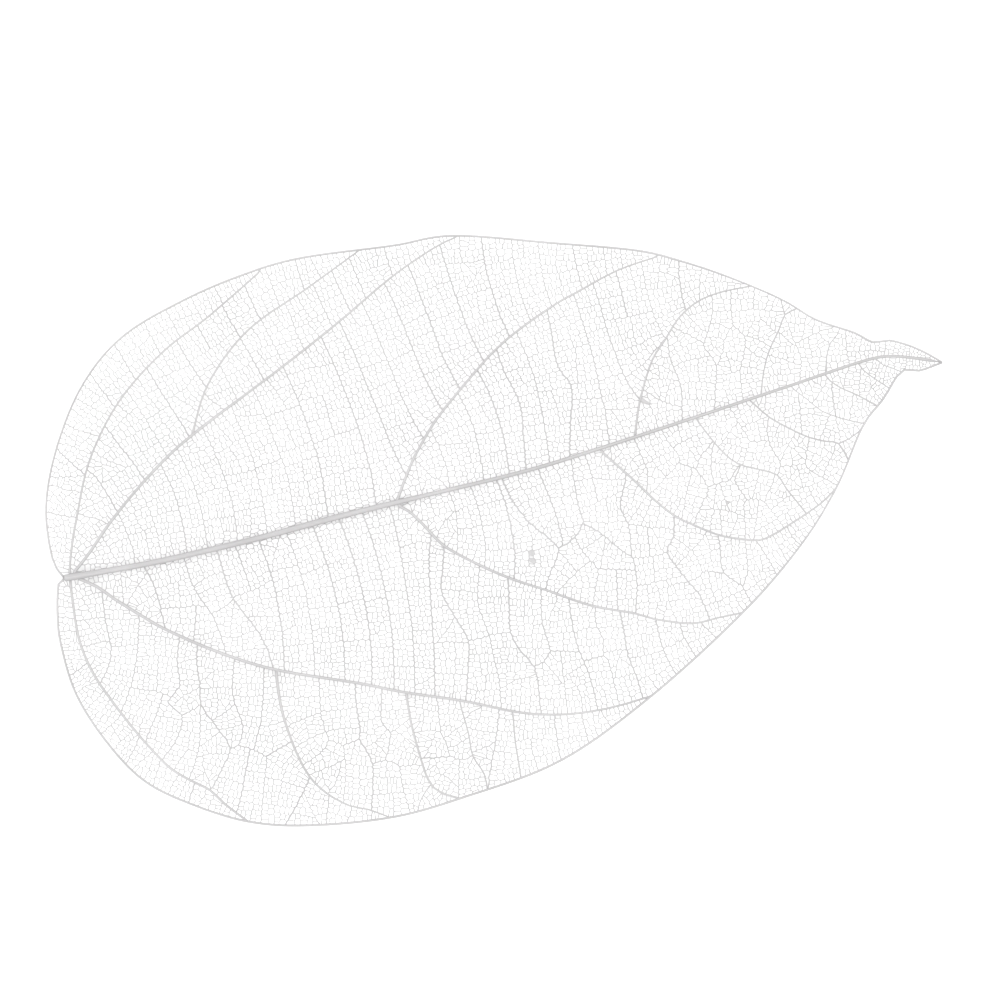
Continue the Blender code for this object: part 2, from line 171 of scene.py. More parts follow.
# The rungs that can be read off the photograph: how strong each looks, and its route in pixels
rungs = {
    "widths": {"strong": 0.000168, "firm": 0.000148, "plain": 0.000125, "faint": 0.000103},
    "endShare": 0.85,                        # width at the end against that at the start
    "routes": [
        ("strong", [(733, 623.5), (732, 637), (731.4, 646.5), (734.4, 653), (741, 664),
         (745.3, 672), (745.3, 682), (744.1, 702)]),
        ("plain", [(751, 634), (750.1, 652.8), (755.9, 669), (757.4, 678), (760.5, 690),
         (762, 706)]),
        ("strong", [(765.5, 639.6), (766, 655), (766.6, 667.3), (771, 676), (778.7, 685),
         (780.7, 694), (782.2, 709)]),
        ("firm", [(782.2, 645.3), (783, 664), (787, 677), (781.5, 684.2), (778.9, 685)]),
        ("firm", [(796.5, 649.7), (797.6, 660.4), (800.6, 673.7), (806.7, 689), (809.8, 700),
         (811, 707)]),
        ("plain", [(809.8, 654.5), (810.3, 664), (813.9, 670.6), (813.9, 679.3), (816.4, 681.3),
         (819, 691.5), (822, 704.5)]),
        ("strong", [(822.5, 657), (824.6, 668), (826.6, 679.8), (831.2, 691), (833.8, 700.5)]),
        ("firm", [(840.9, 661), (843.5, 673.2), (848.6, 684.9), (852, 689)]),
        ("firm", [(852.9, 663.1), (854.6, 669.2), (860.5, 679.5)]),
        ("plain", [(864.1, 663.1), (871.9, 670.9)]),
        ("plain", [(745.5, 672), (755.9, 669.6)]),
        ("faint", [(755.9, 669.3), (766.6, 667.3)]),
        ("plain", [(787.2, 677.5), (793, 677.2), (801.5, 677.8)]),
        ("firm", [(804.8, 681.9), (813.9, 679.5)]),
        ("strong", [(762, 588.7), (767.3, 600), (776.5, 612.2), (782.6, 616.8), (791, 625.2),
         (787.5, 636), (784.2, 645.2)]),
        ("firm", [(791, 625.2), (798.7, 619.9), (803.5, 612), (801, 602), (799, 590),
         (797.5, 578.5)]),
        ("plain", [(799.7, 619.5), (804.3, 627.6), (811.3, 635.4), (810.4, 642.3), (808.7, 653.8)]),
        ("firm", [(825.4, 587), (825.1, 591.2), (822.5, 603.3), (826.9, 613.7), (828.2, 627.6),
         (829.5, 631.1), (831.2, 643.2), (830.3, 657.9)]),
        ("firm", [(803.5, 612), (813, 617.2), (819.9, 623.3), (828.2, 629.3)]),
        ("plain", [(811.3, 635.4), (817.3, 635.4), (830.2, 636)]),
        ("strong", [(850.3, 608.6), (849.4, 619.8), (846.4, 626.7), (857.2, 641.9), (862.4, 647.5),
         (868.3, 661)]),
        ("faint", [(829.5, 629.8), (838, 629), (846.4, 626.9)]),
        ("faint", [(857.2, 641.9), (847.2, 644.1), (846.8, 650), (851.1, 662)]),
        ("firm", [(872.8, 618.4), (873.7, 627.6), (875, 637.1), (884.9, 644.1), (887.5, 649.3),
         (889.3, 652.4)]),
        ("plain", [(875, 637.1), (864.6, 636.7), (862, 640), (857.6, 642.3)]),
        ("faint", [(849.6, 619), (852, 620.7), (859.8, 626.7), (864.6, 636.7)]),
        ("plain", [(891.9, 620.8), (897.9, 630.2), (902.4, 638.2)]),
        ("plain", [(907.5, 613.6), (910, 619), (914.5, 623.2)]),
        ("plain", [(884.9, 644.1), (887.5, 636.3), (886.7, 626.7), (886.2, 620.5)]),
        ("faint", [(843.3, 564), (846.8, 570.4), (852.9, 578.6), (852, 581.7), (846.8, 587.7),
         (842.5, 592.1), (837.5, 597.6)]),
        ("plain", [(852.9, 581), (857.2, 583), (861.5, 584.7), (867.2, 593.8), (866.7, 597.3),
         (863.3, 604.2), (859.8, 612.6)]),
        ("plain", [(867.2, 593.8), (873.7, 591.2), (880.8, 590.3)]),
        ("plain", [(881.5, 581), (880.6, 590.3), (885.8, 598.1), (887.3, 600), (885.4, 602.6),
         (885.8, 608.5), (886.7, 620)]),
        ("faint", [(887.3, 600), (894.5, 600.3), (900.5, 606.8), (905.7, 614.4)]),
        ("plain", [(898.1, 558), (897.2, 565), (898.1, 570), (901, 576.5), (904.4, 582),
         (902.5, 587.3)]),
        ("faint", [(878.2, 552.7), (883.4, 561.9), (888.6, 570.6), (886.9, 574.9), (885.1, 582.4)]),
        ("faint", [(888.6, 570.6), (898, 570.4)]),
        ("plain", [(918.5, 568.4), (916.8, 581.4), (920.7, 586.2), (933, 592.6)]),
        ("faint", [(904.4, 583.2), (916.8, 581.8)]),
        ("strong", [(607.6, 673.3), (607, 682.7), (608.7, 694), (609.3, 704.2), (617.2, 715.5),
         (624.3, 726), (621, 735), (614.9, 747.4)]),
        ("firm", [(626.3, 680.5), (625.1, 695.1), (626.3, 703), (630.8, 715.5), (628.5, 724.6),
         (624.3, 727)]),
        ("plain", [(628.5, 724.6), (642.3, 730.6), (642.1, 739.3), (639.9, 763.4)]),
        ("strong", [(655.8, 723), (649, 726.6), (642.3, 731)]),
        ("strong", [(664.8, 741.5), (656.9, 757.5), (652.3, 764.5)]),
        ("plain", [(669.3, 690.5), (670.5, 711), (673.9, 722.9), (668.2, 730.3), (661.5, 735)]),
        ("strong", [(687.5, 693.4), (688.6, 707.6), (690.3, 716.7), (689.7, 721.8), (696.5, 734.8),
         (696, 757.9)]),
        ("faint", [(673.9, 722.9), (681.2, 725.2), (682.9, 738.2), (681.8, 754)]),
        ("plain", [(689.7, 721.8), (681.4, 725.4)]),
        ("plain", [(696.5, 734.8), (703.3, 732.5), (710.1, 735.9), (711.3, 743.9), (715.8, 759.6)]),
        ("faint", [(710.1, 735.9), (722.6, 734.8)]),
        ("firm", [(701.1, 696), (701.1, 713.3), (705.6, 718.9), (703.5, 732.3)]),
        ("faint", [(705.6, 718.9), (715.6, 711)]),
        ("plain", [(729.4, 700.6), (731.1, 717.8), (733.9, 723.5), (736.2, 730.6), (743, 732.5),
         (747.5, 730.4)]),
        ("faint", [(720.3, 717.8), (731.1, 717.8)]),
        ("firm", [(721, 731.6), (736.2, 731)]),
        ("plain", [(740.7, 732.6), (740.2, 752)]),
        ("firm", [(598.5, 669.6), (597, 682), (598.5, 695.1), (592.3, 703), (599.6, 709.9),
         (597.4, 721.2), (590, 732)]),
        ("plain", [(599.6, 709.9), (609.3, 704.8)]),
        ("plain", [(608.7, 703.8), (608.7, 724.6), (603.6, 742)]),
        ("strong", [(579.7, 633.2), (585, 643), (588, 653), (591, 665.8)]),
        ("strong", [(617.2, 625.2), (624.8, 648.9), (640, 670), (646, 686)]),
        ("firm", [(600, 628.5), (606, 646), (616, 661), (622, 678.5)]),
        ("plain", [(870.4, 554.8), (871.3, 530.7), (865.2, 522.9), (867.8, 512.5), (869.5, 505),
         (869, 496)]),
        ("plain", [(878.6, 493.4), (879.9, 510.8), (886, 516.9), (885.1, 527.3), (883.4, 535.1),
         (885.1, 549.8)]),
        ("faint", [(879.9, 510.8), (875.6, 518.6), (874.7, 525.5), (871.3, 531.8)]),
        ("faint", [(886, 516.9), (892, 518.2), (899, 522.3)]),
        ("faint", [(913.5, 540.4), (914.6, 530.7), (912.9, 523.8), (910.3, 518.6), (908, 511),
         (906.4, 507)]),
        ("strong", [(796.7, 578.4), (797.3, 560), (797.7, 542.7), (790.7, 532), (788, 518),
         (785.5, 503.5)]),
        ("strong", [(774.7, 585.2), (773.3, 568), (771.3, 550.7), (764, 536), (759.5, 523.5)]),
        ("firm", [(854, 560), (853.5, 542.7), (848.5, 530), (846.5, 517.5)]),
    ],
}

# How the leaf lies: level in the middle, bending up in waves to the margin, and dipping to three
# low places that it stands on
curl = {
    "centre": (0.0415, -0.003),  # of the level middle
    "radius": 0.015,
    "stretch": 1.45,             # its length against its width
    "riseLength": 0.013,         # how far outside it the rise turns from a curve into a slope
    "edgeLift": 0.0023,          # what the blade rises over each such length, far outside
    "waveShare": 0.35,
    "waveCount": 5,
    "wavePhase": 0.9,
    "feet": [(0.04724, 0.00861), (0.02011, -0.00289), (0.04586, -0.01251)],
    "footRadius": 0.00075,
    "footReach": 0.003,
    "footDip": 0.0004,
    "netHeight": 0.00012,        # the middle of the net above the underside of the solid leaf
    "veinHeight": 0.00004,       # the underside of a main vein above it
}


# Where a pixel lies on the leaf: x from base to tip, y towards the upper margin
def leafPlace(pixel):
    base, tip = Vector(leaf["basePixel"]), Vector(leaf["tipPixel"])
    along = (tip - base).normalized()
    scale = leaf["length"] / (tip - base).length
    away = Vector(pixel) - base
    return Vector((away.dot(along), away.x * along.y - away.y * along.x)) * scale


# Points about a step apart on a smooth curve through the given ones
def smoothRoute(given, step):
    route = []
    last = len(given) - 1
    for i in range(last):
        a, b, c, d = (given[min(max(i + k, 0), last)] for k in (-1, 0, 1, 2))
        pieces = max(1, round((c - b).length / step))
        for k in range(pieces):
            t = k / pieces
            bend = (2 * a - 5 * b + 4 * c - d) * t + (3 * b - a - 3 * c + d) * t * t
            route.append(b + ((c - a) + bend) * t / 2)
    return route + [given[-1]]


# How high the blade stands at a place, above its lowest
def lift(x, y):
    along = (x - curl["centre"][0]) / curl["stretch"]
    across = y - curl["centre"][1]
    outside = max(0.0, math.hypot(along, across) - curl["radius"]) / curl["riseLength"]
    turn = curl["waveCount"] * math.atan2(across, along) + curl["wavePhase"]
    wave = 1 + curl["waveShare"] * math.sin(turn)
    nearest = min(math.dist((x, y), foot) for foot in curl["feet"]) - curl["footRadius"]
    dip = curl["footDip"] * min(1.0, max(0.0, nearest) / curl["footReach"])
    return curl["edgeLift"] * outside * outside / (1 + outside) * wave + dip


# The net is a plane map: numbered points, cells as rings of points, and veins as chains of points
points = []
cells = {}
cellNumbers = itertools.count(1)
owner = {}        # (a, b) -> the cell that has the side from a to b in its ring
veinOf = {}       # {a, b} -> the vein that the side lies on
veins = []        # one dictionary each: chain, width at both ends, and the piece that it goes into


def addPoint(place):
    points.append(Vector(place))
    return len(points) - 1


def addCell(ring):
    cell = next(cellNumbers)
    cells[cell] = ring
    for a, b in zip(ring, ring[1:] + ring[:1]):
        owner[(a, b)] = cell
    return cell


def addVein(chain, width, endWidth, piece):
    veins.append({"chain": chain, "width": width, "endWidth": endWidth, "piece": piece})
    for a, b in zip(chain, chain[1:]):
        veinOf[frozenset((a, b))] = len(veins) - 1


# A new point on the side from a to b, put into the cells on both sides and into the vein
def cutSide(a, b, place):
    new = addPoint(place)
    for start, end in ((a, b), (b, a)):
        cell = owner.pop((start, end), None)
        if cell is not None:
            ring = cells[cell]
            ring.insert(ring.index(start) + 1, new)
            owner[(start, new)] = owner[(new, end)] = cell
    vein = veinOf.pop(frozenset((a, b)))
    chain = veins[vein]["chain"]
    chain.insert(max(chain.index(a), chain.index(b)), new)
    veinOf[frozenset((a, new))] = veinOf[frozenset((new, b))] = vein
    return new


# The cell becomes two, on either side of the chain, which starts and ends on its ring
def splitCell(cell, chain):
    ring = cells.pop(cell)
    start = ring.index(chain[0])
    ring = ring[start:] + ring[:start]
    turn = ring.index(chain[-1])
    inner = chain[1:-1]
    return addCell(ring[:turn + 1] + inner[::-1]), addCell(ring[turn:] + ring[:1] + inner)


def insideRing(place, ring):
    result = False
    for a, b in zip(ring, ring[1:] + ring[:1]):
        if (a.y > place.y) != (b.y > place.y):
            if place.x < a.x + (place.y - a.y) / (b.y - a.y) * (b.x - a.x):
                result = not result
    return result


# The spot of a ring nearest to a place: how far off it is, the side that it lies on, and the spot
def nearestOnRing(place, ring):
    best = None
    for a, b in zip(ring, ring[1:] + ring[:1]):
        start, end = points[a], points[b]
        along = end - start
        t = min(max((place - start).dot(along) / along.length_squared, 0), 1)
        spot = start + along * t
        if best is None or (spot - place).length < best[0]:
            best = ((spot - place).length, a, b, spot)
    return best


# A point of the ring nearest to a place: one that is there if it is close, or a new one
def ringPoint(place, cell, close):
    _, a, b, spot = nearestOnRing(place, cells[cell])
    for corner in (a, b):
        if (points[corner] - spot).length < close:
            return corner
    return cutSide(a, b, spot)


# How the veins that are read off the photograph are put into the map
readVeins = {
    "step": 0.0008,              # between the points of a route
    "close": 0.00012,            # an end this near to a point of another vein starts there
    "clear": 0.00024,            # inner points keep this far from the other veins
}


def drawVein(pixels, width, endWidth, piece):
    route = smoothRoute([leafPlace(p) for p in pixels], readVeins["step"])
    middle = (route[(len(route) - 1) // 2] + route[len(route) // 2]) / 2
    cell = next(c for c, ring in cells.items() if insideRing(middle, [points[p] for p in ring]))
    first = ringPoint(route[0], cell, readVeins["close"])
    last = ringPoint(route[-1], cell, readVeins["close"])
    if first == last:
        print("left out, too short:", pixels)
        return
    ring = [points[p] for p in cells[cell]]
    inner = [p for p in route[1:-1] if insideRing(p, ring)]
    inner = [p for p in inner if nearestOnRing(p, cells[cell])[0] > readVeins["clear"]]
    chain = [first] + [addPoint(p) for p in inner] + [last]
    splitCell(cell, chain)
    addVein(chain, width, endWidth, piece)


def marginRoute(start, between, end):
    return smoothRoute([leafPlace(p) for p in [start] + between + [end]], readVeins["step"])


lowerRoute = marginRoute(leaf["basePixel"], leaf["lowerMargin"], leaf["tipPixel"])
upperRoute = marginRoute(leaf["tipPixel"], leaf["upperMargin"], leaf["basePixel"])
lowerWidth, upperWidth = leaf["marginWidths"]
lower = [addPoint(p) for p in lowerRoute]
upper = [addPoint(p) for p in upperRoute[1:-1]]
addCell(lower + upper)
addVein(lower, lowerWidth, lowerWidth, "marginVein")
addVein([lower[-1]] + upper + [lower[0]], upperWidth, upperWidth, "marginVein")
for name, (pixels, width, endWidth) in mainVeins.items():
    drawVein(pixels, width, endWidth, "midrib" if name == "midrib" else "mainVeins")
mainCount = len(veins)
for look, pixels in rungs["routes"]:
    drawVein(pixels, rungs["widths"][look], rungs["widths"][look] * rungs["endShare"], "rungs")
print("read off the photograph:", mainCount, "main veins,", len(veins) - mainCount, "rungs")

mainStarts = np.array([points[a] for vein in veins[:mainCount] for a in vein["chain"][:-1]])
mainEnds = np.array([points[b] for vein in veins[:mainCount] for b in vein["chain"][1:]])
mainMiddles = (mainStarts + mainEnds) / 2
mainLengths = np.linalg.norm(mainEnds - mainStarts, axis=1)
mainWays = (mainEnds - mainStarts) / mainLengths[:, None]

# Rungs run from the midrib outwards, and as squarely as they can to the main veins around them
rungWays = {
    "leanUpper": (math.radians(15), math.radians(-4)),      # towards the tip: at midrib and margin
    "leanLower": (math.radians(16), math.radians(-12)),
    "halfWidth": 0.027,          # from the midrib to the margin
    "leanPull": 0.8,             # how much the lean counts against the main veins around
    "veinPull": 0.0011,          # distance within which a main vein's own count levels off
}


def rungDirection(place):
    share = min(abs(place.y) / rungWays["halfWidth"], 1)
    inner, outer = rungWays["leanUpper" if place.y > 0 else "leanLower"]
    lean = inner + (outer - inner) * share
    way = np.array((math.sin(lean), math.copysign(math.cos(lean), place.y)))
    away = mainMiddles - np.array(place)
    weight = mainLengths / ((away * away).sum(axis=1) + rungWays["veinPull"] ** 2) ** 1.5
    veinTensor = (mainWays * weight[:, None]).T @ mainWays / weight.sum()
    _, ways = np.linalg.eigh(veinTensor - rungWays["leanPull"] * np.outer(way, way))
    rung = Vector(ways[:, 0])
    return rung if rung.y * place.y > 0 else -rung


# The finer veins: each cell is parted by a thinner vein until only the smallest cells are left
netRule = {
    "seed": 11,
    "smallestCell": 0.000515,    # side of the finest cells
    "leftWhole": (1.2, 1.4),     # a cell smaller than this many times that side isn't parted
    "cellStretch": 1.2,          # how much longer cells are along the rungs than across
    "tipFinest": 0.7,            # side of those at the tip, against the others
    "tipStarts": 0.88,           # share of the leaf's length where they start to be smaller
    "tipShare": 0.08,            # share of it over which they get as small as at the tip
    "beyondCorner": 1.2,         # a centre outside its cell moves to the nearest corner and past it
    "rungSpacing": 0.0039,
    "spacingVaries": (0.85, 1.15),
    "tries": 4,                  # ways tried along the rungs, and as many square to the cell
    "rungTurns": 0.05,           # how far they turn by chance, in radians
    "netTurns": 0.1,
    "offCentre": 0.1,            # how far beside the centre they pass at most, in breadths
    "netBreadth": 1.3,           # breadth taken for a cell that no rung parts, against its side
    "chanceCost": 0.2,           # what chance adds to the cost of a way at most
    "noRungCost": 0.4,           # what a way square to the cell costs more where a rung has room
}
draw = random.Random(netRule["seed"])


def ringArea(ring):
    return sum(a.x * b.y - b.x * a.y for a, b in zip(ring, ring[1:] + ring[:1])) / 2


def ringCentre(ring, area):
    x = sum((a.x + b.x) * (a.x * b.y - b.x * a.y) for a, b in zip(ring, ring[1:] + ring[:1]))
    y = sum((a.y + b.y) * (a.x * b.y - b.x * a.y) for a, b in zip(ring, ring[1:] + ring[:1]))
    return Vector((x, y)) / (6 * area)


def extent(ring, centre, direction):
    reach = [(p - centre).dot(direction) for p in ring]
    return max(reach) - min(reach)


# Square to the ring's longer way, where lengths along the rungs count for less
def crosswise(ring, centre, rung):
    across = Vector((rung.y, -rung.x))
    uu = uv = vv = 0.0
    for a, b in zip(ring, ring[1:] + ring[:1]):
        middle = (a + b) / 2 - centre
        weight = (b - a).length
        u = middle.dot(rung) / netRule["cellStretch"]
        v = middle.dot(across)
        uu += weight * u * u
        uv += weight * u * v
        vv += weight * v * v
    turn = 0.5 * math.atan2(2 * uv, uu - vv)
    return (across * math.cos(turn) - rung * (math.sin(turn) * netRule["cellStretch"])).normalized()


# How a way across a cell is followed, and what counts against it
crossing = {
    "step": 0.0011,              # between the points of a vein
    "straightOn": 0.1,           # one step that leaves any cell
    "mostSteps": 60,
    "cornerRoom": 0.00014,       # a vein keeps this far from the ends of the side that it starts on
    "cornerShare": 0.3,          # or this share of the side, if that is less
    "leastSide": 1e-9,           # so that a side of no length does no harm
    "unevenCost": 2.2,
    "mostUneven": 0.3,           # how far the smaller part may be off a half of the cell
    "tooUnevenCost": 2,
    "slantCost": 0.8,
}


# Where the line from p to q first leaves the ring: how far along, which side, how far along that
def firstHit(ring, p, q):
    best = None
    step = q - p
    for i, a in enumerate(ring):
        side = ring[(i + 1) % len(ring)] - a
        turn = step.x * side.y - step.y * side.x
        if turn == 0:
            continue
        away = a - p
        t = (away.x * side.y - away.y * side.x) / turn
        u = (away.x * step.y - away.y * step.x) / turn
        if 0 < t <= 1 and 0 <= u < 1 and (best is None or t < best[0]):
            best = (t, i, u)
    return best


# From a place inside the ring to its edge, straight on or turning as the rungs do
def walk(ring, here, heading, turning):
    route = []
    step = crossing["step" if turning else "straightOn"]
    for _ in range(crossing["mostSteps"]):
        there = here + heading * step
        hit = firstHit(ring, here, there)
        if hit:
            return route, hit
        route.append(there)
        if turning:
            way = rungDirection(there)
            heading = way if way.dot(heading) > 0 else -way
        here = there
    return route, None


# A way across the ring, with its cost: unequal halves and slanting ends count against it
def wayAcross(ring, area, through, heading, turning):
    ahead, aheadHit = walk(ring, through, heading, turning)
    behind, behindHit = walk(ring, through, -heading, turning)
    if aheadHit is None or behindHit is None or aheadHit[1] == behindHit[1]:
        return None
    inner = behind[::-1] + ([through] if turning else []) + ahead
    ends = []
    for _, i, u in (behindHit, aheadHit):
        a, b = ring[i], ring[(i + 1) % len(ring)]
        length = max((b - a).length, crossing["leastSide"])
        room = min(crossing["cornerRoom"] / length, crossing["cornerShare"])
        ends.append((i, a.lerp(b, min(max(u, room), 1 - room)), (b - a).normalized()))
    (i, start, startSide), (j, end, endSide) = ends
    full = [start] + inner + [end]
    first = (full[1] - full[0]).normalized()
    last = (full[-1] - full[-2]).normalized()
    slant = abs(first.dot(startSide)) + abs(last.dot(endSide))
    between = ring[i + 1:j + 1] if j > i else ring[i + 1:] + ring[:j + 1]
    share = abs(ringArea([start] + between + [end] + inner[::-1])) / area
    uneven = abs(share - 0.5)
    tooUneven = crossing["tooUnevenCost"] if uneven > crossing["mostUneven"] else 0
    cost = uneven * crossing["unevenCost"] + tooUneven + slant * crossing["slantCost"]
    return cost, (i, start), (j, end), inner


# The cheapest of some ways across a cell near its centre: along the rungs where one more of them
# has room, or else square to the cell's longer way
def bestWayAcross(ring, area, centre, rungWay):
    broad = area / extent(ring, centre, rungWay)
    roomForRung = broad > netRule["rungSpacing"] * draw.uniform(*netRule["spacingVaries"])
    ownWay = crosswise(ring, centre, rungWay)
    isLong = area / broad > netRule["cellStretch"] * broad
    plainWay = Vector((-rungWay.y, rungWay.x)) if isLong else rungWay
    rungTries = netRule["tries"] if roomForRung else 0
    found = []
    for isRung in [True] * rungTries + [False] * netRule["tries"]:
        heading = rungWay if isRung else draw.choice((ownWay, plainWay))
        turn = draw.gauss(0, netRule["rungTurns" if isRung else "netTurns"])
        heading = Matrix.Rotation(turn, 2) @ heading
        breadth = broad if isRung else netRule["netBreadth"] * math.sqrt(area)
        stray = draw.uniform(-netRule["offCentre"], netRule["offCentre"]) * breadth
        through = centre + Vector((heading.y, -heading.x)) * stray
        way = insideRing(through, ring) and wayAcross(ring, area, through, heading, isRung)
        if way:
            missing = netRule["noRungCost"] if roomForRung and not isRung else 0
            found.append((way[0] + (draw.uniform(0, netRule["chanceCost"]) + missing), way, isRung))
    return min(found, key=lambda each: each[0], default=None)


# How thick the finer veins are, and how straight
thinVeins = {
    "rungWidth": (0.000105, 0.000165),
    "thickest": 0.0001245,
    "thickestIn": 0.007,         # side of the cells that the thickest of these veins part
    "thinning": 0.21,            # power of the cell's side that the width goes with
    "linkShare": 0.85,           # width of a vein across the rungs, against one along them
    "widthVaries": (0.9, 1.12),
    "endShare": (0.8, 0.95),     # width at the end against that at the start
    "bow": 0.03,                 # against the vein's length
    "waver": 0.06,               # of a point, against its distance from the next
}


def bowedLine(start, end):
    length = (end - start).length
    sideways = Vector((start.y - end.y, end.x - start.x)) / length
    pieces = max(1, round(length / crossing["step"]))
    bow = draw.gauss(0, thinVeins["bow"]) * length
    line = []
    for k in range(1, pieces):
        t = k / pieces
        stray = draw.gauss(0, thinVeins["waver"]) * length / pieces
        line.append(start.lerp(end, t) + sideways * (bow * 4 * t * (1 - t) + stray))
    return line


# Parts a cell by a new vein, and gives the two cells that come of it, or none if it stays whole
def partCell(cell):
    ring = cells[cell]
    places = [points[p] for p in ring]
    area = ringArea(places)
    size = math.sqrt(max(area, 0))
    centre = ringCentre(places, area)
    tipLeft = centre.x / leaf["length"] - netRule["tipStarts"]
    nearTip = min(max(tipLeft / netRule["tipShare"], 0), 1)
    smallest = netRule["smallestCell"] * (1 - (1 - netRule["tipFinest"]) * nearTip)
    if size < smallest * draw.uniform(*netRule["leftWhole"]):
        return []
    if not insideRing(centre, places):
        corner = min(places, key=lambda each: (each - centre).length)
        centre = centre.lerp(corner, netRule["beyondCorner"])
        if not insideRing(centre, places):
            return []
    rungWay = rungDirection(centre)
    best = bestWayAcross(places, area, centre, rungWay)
    if not best:
        return []
    _, (_, (i, start), (j, end), inner), isRung = best
    along = abs((end - start).normalized().dot(rungWay))
    firstSide, lastSide = ((ring[k], ring[(k + 1) % len(ring)]) for k in (i, j))
    first = cutSide(*firstSide, start)
    last = cutSide(*lastSide, end)
    chain = [first] + [addPoint(p) for p in inner or bowedLine(start, end)] + [last]
    halves = splitCell(cell, chain)
    width = thinVeins["thickest"] * min(1, size / thinVeins["thickestIn"]) ** thinVeins["thinning"]
    width *= thinVeins["linkShare"] + (1 - thinVeins["linkShare"]) * along
    if isRung:
        width = draw.uniform(*thinVeins["rungWidth"])
    else:
        width *= draw.uniform(*thinVeins["widthVaries"])
    endWidth = width * draw.uniform(*thinVeins["endShare"])
    addVein(chain, width, endWidth, "rungs" if isRung else "fineNet")
    return halves


waiting = list(cells)
while waiting:
    waiting.extend(partCell(waiting.pop()))
print("net drawn:", len(veins), "veins,", len(cells), "cells,", len(veinOf), "sides")

# The points of the rungs and the net settle a little towards their neighbours, each of which counts
# for as much as the vein that leads to it is wide
settle = {"rounds": 2, "share": 0.22}
settled = np.array([tuple(p) for p in points])
sides = np.array([tuple(side) for side in veinOf])
pull = np.array([veins[vein]["width"] for vein in veinOf.values()])
mobile = np.ones(len(settled))
for vein in veins[:mainCount]:
    mobile[vein["chain"]] = 0
for _ in range(settle["rounds"]):
    total, weight = np.zeros_like(settled), np.zeros(len(settled))
    for a, b in ((0, 1), (1, 0)):
        np.add.at(total, sides[:, a], settled[sides[:, b]] * pull[:, None])
        np.add.at(weight, sides[:, a], pull)
    settled += (total / weight[:, None] - settled) * (mobile * settle["share"])[:, None]

# Veinlets that end freely inside some of the smallest cells
veinlets = {
    "share": 0.5,
    "largestCell": 2.2,          # against the side of the finest cells
    "reach": 0.55,               # from a corner to the middle
    "reachVaries": (0.7, 1.2),
    "width": 0.00005,
    "endWidth": 0.00003,
}
largest = veinlets["largestCell"] * netRule["smallestCell"]
freeEnds = []
for ring in cells.values():
    if draw.random() < veinlets["share"]:
        corners = settled[ring]
        root = settled[ring[draw.randrange(len(ring))]]
        if np.ptp(corners, axis=0).max() < largest:
            reach = veinlets["reach"] * draw.uniform(*veinlets["reachVaries"])
            freeEnds.append((root, root + (corners.mean(axis=0) - root) * reach))
print("veinlets:", len(freeEnds))

# The plan's middle goes where the solid leaf has its own
margin = settled[veins[0]["chain"] + veins[1]["chain"]]
nodeMiddle = (np.array(nodeLow)[:2] + np.array(nodeHigh)[:2]) / 2
shift = nodeMiddle - (margin.min(axis=0) + margin.max(axis=0)) / 2


def onLeaf(x, y, height):
    return (x + shift[0], y + shift[1], nodeLow[2] + lift(x, y) + height)


# The shapes of the threads. Thick veins are bundles of fibres, which are seen as shallow grooves
bundle = {
    "fibres": {"mainVeins": 6, "midrib": 13},
    "roundness": {"rungs": 1, "marginVein": 1},      # the threads of the net have four sides
    "groove": 0.1,               # its depth, against the vein's radius
    "grooveVaries": (0.4, 1.5),
    "wander": 0.05,              # how far the bundle turns from point to point, in radians
    "unevenness": 0.015,         # of its radius
    "rootShares": (0.75, 1.3, 1.15, 1.06),   # how a main vein widens just outside the one it leaves
    "midribWidths": [            # along its length from the base to the tip
        (0, 0.00063), (0.01, 0.00074), (0.025, 0.00063), (0.06, 0.00058), (0.31, 0.00058),
        (0.37, 0.00053), (0.41, 0.00042), (0.61, 0.00035), (0.72, 0.00031), (0.83, 0.0003),
        (0.906, 0.0003), (0.966, 0.00029), (0.983, 0.00035), (0.993, 0.0003), (1, 0.0001),
    ],
}
mergeDistance = 1e-7


def addObject(name, data):
    made = bpy.data.objects.new(name, data)
    bpy.context.scene.collection.objects.link(made)
    return made


def curveToMesh(piece):
    bpy.ops.object.select_all(action="DESELECT")
    piece.select_set(True)
    bpy.context.view_layer.objects.active = piece
    bpy.ops.object.convert(target="MESH")


# Merges doubled points of the active piece and turns its faces outwards
def cleanMesh():
    bpy.ops.object.mode_set(mode="EDIT")
    bpy.ops.mesh.select_all(action="SELECT")
    bpy.ops.mesh.remove_doubles(threshold=mergeDistance)
    bpy.ops.mesh.normals_make_consistent(inside=False)
    bpy.ops.object.mode_set(mode="OBJECT")


# The cross-section of a thick vein: a circle of radius 1 with a groove beside each fibre
def bundleProfile(fibres):
    curve = bpy.data.curves.new("bundleProfile", "CURVE")
    spline = curve.splines.new("POLY")
    corners = 3 * fibres         # every third one lies in a groove
    spline.points.add(corners - 1)
    spline.use_cyclic_u = True
    for k, target in enumerate(spline.points):
        turn = 2 * math.pi * k / corners
        radius = 1 if k % 3 else 1 - bundle["groove"] * draw.uniform(*bundle["grooveVaries"])
        target.co = (radius * math.cos(turn), radius * math.sin(turn), 0, 1)
    return addObject("bundleProfile", curve)


